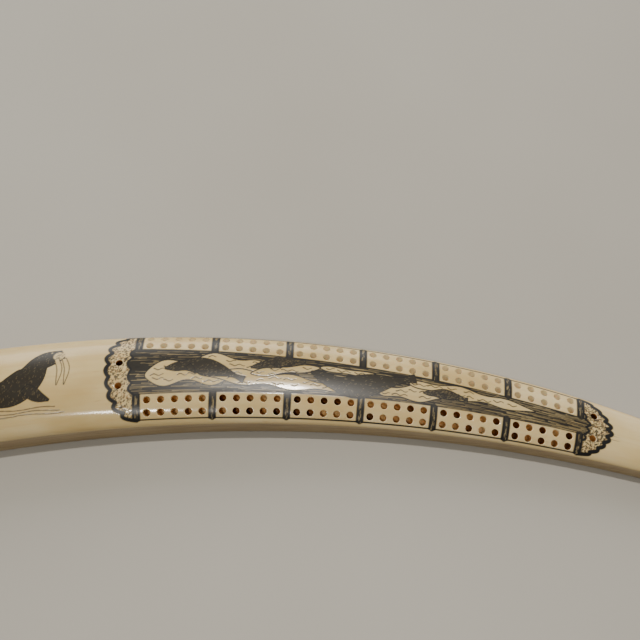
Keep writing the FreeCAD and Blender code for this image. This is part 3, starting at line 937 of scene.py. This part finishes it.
def ivory_material():
    """Polished old ivory: cream with long warm streaks, inked engraving, bores browned by stain and painted
    shade (far ones painted pale as painted light), walls and sole painted dark brown as painted shade,
    layered butt.
    """
    n = Nodes("tusk_ivory_polished")
    grain = n.attribute("grain", "Vector")
    ink = n.attribute("ink")
    bore = n.attribute("bore")
    side = n.attribute("side")

    clouds = n.noise(grain, 26.0, (1.0, 2.2, 2.2), 3.0)
    tone = n.ramp(clouds, [(0.32, IVORY_WARM), (0.52, IVORY), (0.72, IVORY_PALE)])
    streaks = n.noise(grain, 210.0, (0.07, 2.0, 2.0), 4.0, 0.6)
    tone = n.mix(n.math("MULTIPLY", n.ramp_value(streaks, 0.48, 0.75), 0.30), tone, (0.50, 0.31, 0.12))
    flecks = n.noise(grain, 420.0, (0.2, 1.0, 1.0), 3.0)
    tone = n.mix(n.math("MULTIPLY", n.ramp_value(flecks, 0.66, 0.74), 0.35), tone, (0.36, 0.20, 0.08))

    # Walls and sole get a dark streaked brown that is painted shade; the same streaks also bump the walls.
    wall_streaks = n.noise(grain, 330.0, (0.06, 1.8, 1.8), 5.0, 0.65)
    wall_painted_shade = n.ramp(wall_streaks, [
        (0.30, (0.165, 0.108, 0.054)), (0.52, (0.265, 0.190, 0.103)), (0.75, (0.350, 0.264, 0.154)),
    ])
    tone = n.mix(n.math("MULTIPLY", side, 0.86), tone, wall_painted_shade)
    tone = n.mix(n.ramp_value(n.attribute("layer"), -0.5, 0.0), tone, butt_colour(n))

    tone = n.mix(n.math("MULTIPLY", n.attribute("stain"), 0.75), tone, (0.17, 0.070, 0.030))
    # Bore colours: brown stain and painted shade going near black at depth; the palest stop, lighter than
    # the ivory, is painted light in the far holes.
    hole = n.ramp(bore, [(0.14, (0.84, 0.72, 0.48)), (0.30, (0.68, 0.44, 0.18)), (0.4, (0.58, 0.32, 0.11)),
                         (0.7, (0.28, 0.10, 0.026)), (1.0, (0.020, 0.008, 0.004))])
    tone = n.mix(n.ramp_value(bore, 0.0, 0.12), tone, hole)
    tone = n.mix(ink, tone, (0.0085, 0.0080, 0.0070))
    n.put(n.shader.inputs["Base Color"], tone)

    wear = n.noise(grain, 500.0, (0.35, 1.4, 1.4), 5.0, 0.6)
    rough = n.math("ADD", 0.07, n.math("MULTIPLY", wear, 0.11))
    rough = n.math("ADD", rough, n.math("MULTIPLY", side, 0.22))
    n.put(n.shader.inputs["Roughness"], n.math("ADD", rough, n.math("MULTIPLY", ink, 0.20)))
    fine = n.bump(wear, 0.05, 0.0003)
    sawn = n.bump(n.math("MULTIPLY", wall_streaks, side), 0.25, 0.0004, fine)
    cut = n.bump(n.math("SUBTRACT", 1.0, ink), 0.30, 0.00010, sawn)
    n.put(n.shader.inputs["Normal"], cut)
    set_ivory_depth(n.shader)
    return n.material


def set_ivory_depth(shader):
    shader.inputs["Subsurface Weight"].default_value = 0.16
    shader.inputs["Subsurface Radius"].default_value = (1.0, 0.55, 0.25)
    shader.inputs["Subsurface Scale"].default_value = 0.0018
    shader.inputs["IOR"].default_value = 1.54
    shader.inputs["Specular IOR Level"].default_value = 0.28


def butt_colour(n):
    """Cut end of a tusk: marbled core, fine growth rings and a thin darker outer rind."""
    place = n.add("ShaderNodeTexCoord").outputs["Object"]
    layer = n.attribute("layer")
    marble = n.ramp(n.noise(place, 420.0, (1, 1, 1), 4.0, 0.6), [
        (0.35, (0.42, 0.27, 0.12)), (0.50, (0.60, 0.44, 0.23)), (0.68, (0.72, 0.58, 0.36)),
    ])
    waver = n.math("MULTIPLY", n.noise(place, 90.0, (1, 1, 1), 2.0), 0.25)
    rings = n.math("SINE", n.math("MULTIPLY", n.math("ADD", layer, waver), 95.0))
    dentine = n.mix(n.ramp_value(rings, -0.6, 1.0), (0.66, 0.49, 0.27), (0.54, 0.38, 0.19))
    core = n.ramp_value(n.math("ADD", layer, waver), 0.42, 0.47)
    tone = n.mix(core, marble, dentine)
    return n.mix(n.ramp_value(n.math("ADD", layer, waver), 0.97, 1.0), tone, (0.36, 0.24, 0.12))


def turned_ivory_material(name, colour):
    """Small turned ivory pieces: fine lathe rings, slight streaks and a soft polish."""
    n = Nodes(name)
    place = n.add("ShaderNodeTexCoord").outputs["Object"]
    streaks = n.noise(place, 900.0, (1.0, 1.0, 0.25), 4.0)
    pale = tuple(min(c * 1.12, 0.95) for c in colour)
    warm = tuple(c * s for c, s in zip(colour, (0.84, 0.74, 0.58)))
    n.put(n.shader.inputs["Base Color"], n.ramp(streaks, [(0.3, warm), (0.5, colour), (0.7, pale)]))
    n.put(n.shader.inputs["Roughness"], n.math("ADD", 0.20, n.math("MULTIPLY", streaks, 0.15)))
    n.put(n.shader.inputs["Normal"], n.bump(n.noise(place, 2400.0, (1, 1, 1), 3.0), 0.06, 0.0002))
    set_ivory_depth(n.shader)
    return n.material


def cork_material():
    """Bark cork: tan with dark pores and pale cells, dry and rough."""
    n = Nodes("cork_bark")
    place = n.add("ShaderNodeTexCoord").outputs["Object"]
    cells = n.add("ShaderNodeTexVoronoi", {"Vector": place, "Scale": 1400.0}).outputs["Distance"]
    pores = n.ramp_value(n.noise(place, 700.0, (1, 1, 1), 4.0, 0.7), 0.60, 0.66)
    tone = n.ramp(cells, [
        (0.05, (0.50, 0.31, 0.15)), (0.45, (0.40, 0.235, 0.105)), (0.75, (0.29, 0.155, 0.065)),
    ])
    n.put(n.shader.inputs["Base Color"], n.mix(pores, tone, (0.075, 0.035, 0.015)))
    n.shader.inputs["Roughness"].default_value = 0.82
    height = n.math("SUBTRACT", n.math("MULTIPLY", cells, -0.4), pores)
    n.put(n.shader.inputs["Normal"], n.bump(height, 0.5, 0.0002))
    return n.material


def dark_wood_material():
    """Oiled black-brown hardwood with fine grain along the peg."""
    n = Nodes("dark_hardwood")
    place = n.add("ShaderNodeTexCoord").outputs["Object"]
    grain = n.noise(place, 1600.0, (0.08, 0.3, 1.0), 5.0, 0.65)
    tone = n.ramp(grain, [
        (0.35, (0.012, 0.007, 0.005)), (0.55, (0.032, 0.018, 0.011)), (0.75, (0.085, 0.045, 0.024)),
    ])
    n.put(n.shader.inputs["Base Color"], tone)
    n.put(n.shader.inputs["Roughness"], n.math("ADD", 0.26, n.math("MULTIPLY", grain, 0.25)))
    n.put(n.shader.inputs["Normal"], n.bump(grain, 0.15, 0.0002))
    return n.material


def floor_material():
    """Pale table cloth with a faint fine weave."""
    n = Nodes("pale_cloth")
    place = n.add("ShaderNodeTexCoord").outputs["Object"]
    cloud = n.noise(place, 3.0, (1, 1, 1), 3.0)
    n.put(n.shader.inputs["Base Color"], n.ramp(cloud, [(0.3, FLOOR_SHADE), (0.7, FLOOR_LIGHT)]))
    weave = n.noise(place, 1500.0, (1.0, 0.22, 1.0), 2.0)
    n.put(n.shader.inputs["Normal"], n.bump(weave, 0.12, 0.0003))
    n.shader.inputs["Roughness"].default_value = 0.85
    return n.material


# ---------------------------------------------------------------------------------------------------
# Camera, floor and light

CAMERA_PLACE = Vector((-0.02489, -0.13023, 0.29502))
CAMERA_YAW = 0.0154
CAMERA_DIP = 1.0451
CAMERA_ROLL = 0.1135
CAMERA_LENS = 36.84
WALL_BACK = 1.55
WALL_FRONT = 0.28
CEILING = 0.17
WINDOW_COLOUR = (1.0, 0.98, 0.95)
LAMP_COLOUR = (1.0, 0.96, 0.90)
FLOOR_HALF = 1.6


def make_camera():
    data = bpy.data.cameras.new("camera")
    data.sensor_width = 36.0
    data.lens = CAMERA_LENS
    data.clip_start = 0.01
    data.clip_end = 20.0
    camera = bpy.data.objects.new("camera", data)
    ahead = Vector((
        math.sin(CAMERA_YAW) * math.cos(CAMERA_DIP), math.cos(CAMERA_YAW) * math.cos(CAMERA_DIP),
        -math.sin(CAMERA_DIP),
    ))
    level = Vector((math.cos(CAMERA_YAW), -math.sin(CAMERA_YAW), 0))
    upright = level.cross(ahead)
    right = level * math.cos(CAMERA_ROLL) + upright * math.sin(CAMERA_ROLL)
    up = upright * math.cos(CAMERA_ROLL) - level * math.sin(CAMERA_ROLL)
    facing = Matrix((right, up, -ahead)).transposed().to_4x4()
    camera.matrix_world = Matrix.Translation(CAMERA_PLACE) @ facing
    bpy.context.scene.collection.objects.link(camera)
    bpy.context.scene.camera = camera


def add_area(name, place, target, size, power, colour):
    data = bpy.data.lights.new(name, "AREA")
    data.shape = "RECTANGLE"
    data.size, data.size_y = size
    data.energy = power
    data.color = colour
    light = bpy.data.objects.new(name, data)
    light.location = place
    light.rotation_mode = "QUATERNION"
    light.rotation_quaternion = (Vector(target) - Vector(place)).to_track_quat("-Z", "Y")
    bpy.context.scene.collection.objects.link(light)


def make_light():
    """A bright room, a broad window low behind the board and two small ceiling lamps."""
    add_area("window", (-0.45, 1.25, 0.62), (0, 0, 0), (1.5, 0.55), 9.5, WINDOW_COLOUR)
    add_area("lamp_front", (-0.17, -0.62, 1.10), (-0.09, -0.02, 0.015), (0.07, 0.035), 4.4, LAMP_COLOUR)
    add_area("lamp_back", (0.0, 0.27, 1.20), (-0.02, 0, 0.015), (0.09, 0.045), 8.4, LAMP_COLOUR)
    bpy.context.scene.world = make_room()


def make_room():
    """Surroundings: pale walls, brighter behind the board than in front of it, and a dim ceiling."""
    world = bpy.data.worlds.new("room")
    world.use_nodes = True
    nodes, links = world.node_tree.nodes, world.node_tree.links
    heading = nodes.new("ShaderNodeSeparateXYZ")
    links.new(nodes.new("ShaderNodeTexCoord").outputs["Generated"], heading.inputs[0])
    depth = nodes.new("ShaderNodeMapRange")
    links.new(heading.outputs["Y"], depth.inputs["Value"])
    depth.inputs["From Min"].default_value = -0.7
    depth.inputs["From Max"].default_value = 0.5
    depth.inputs["To Min"].default_value = WALL_FRONT
    depth.inputs["To Max"].default_value = WALL_BACK
    rise = nodes.new("ShaderNodeMapRange")
    rise.interpolation_type = "SMOOTHSTEP"
    links.new(heading.outputs["Z"], rise.inputs["Value"])
    rise.inputs["From Min"].default_value = 0.42
    rise.inputs["From Max"].default_value = 0.72
    rise.inputs["To Min"].default_value = 1.0
    rise.inputs["To Max"].default_value = CEILING
    strength = nodes.new("ShaderNodeMath")
    strength.operation = "MULTIPLY"
    links.new(depth.outputs[0], strength.inputs[0])
    links.new(rise.outputs[0], strength.inputs[1])
    background = nodes["Background"]
    background.inputs["Color"].default_value = (1.0, 0.985, 0.955, 1.0)
    links.new(strength.outputs[0], background.inputs["Strength"])
    return world


def make_floor():
    level = CAD_LOW.z - FLOOR_GAP
    corners = [(x * FLOOR_HALF, y * FLOOR_HALF, level) for x, y in ((-1, -1), (1, -1), (1, 1), (-1, 1))]
    mesh = bpy.data.meshes.new("floor")
    mesh.from_pydata(corners, [], [(0, 1, 2, 3)])
    floor = bpy.data.objects.new("floor", mesh)
    floor.data.materials.append(floor_material())
    bpy.context.scene.collection.objects.link(floor)


def finish_nodes():
    """Materials for the pieces whose CAD shape is shown."""
    ivory = turned_ivory_material("stopper_ivory_turned", (0.600, 0.450, 0.230))
    light = turned_ivory_material("peg_ivory_turned", (0.640, 0.510, 0.300))
    dark = dark_wood_material()
    finishes = {"stopper": ivory, "stopper_cork": cork_material()}
    for name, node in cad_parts.items():
        material = finishes.get(name) or (light if "light" in name else dark if "dark" in name else None)
        if material:
            for place in node.material_slots:
                place.material = material


def main():
    make_camera()
    make_floor()
    make_light()
    tusk = make_tusk()
    tusk.data.materials.append(ivory_material())
    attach(tusk, "board")
    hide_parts("tusk_body")
    finish_nodes()


main()
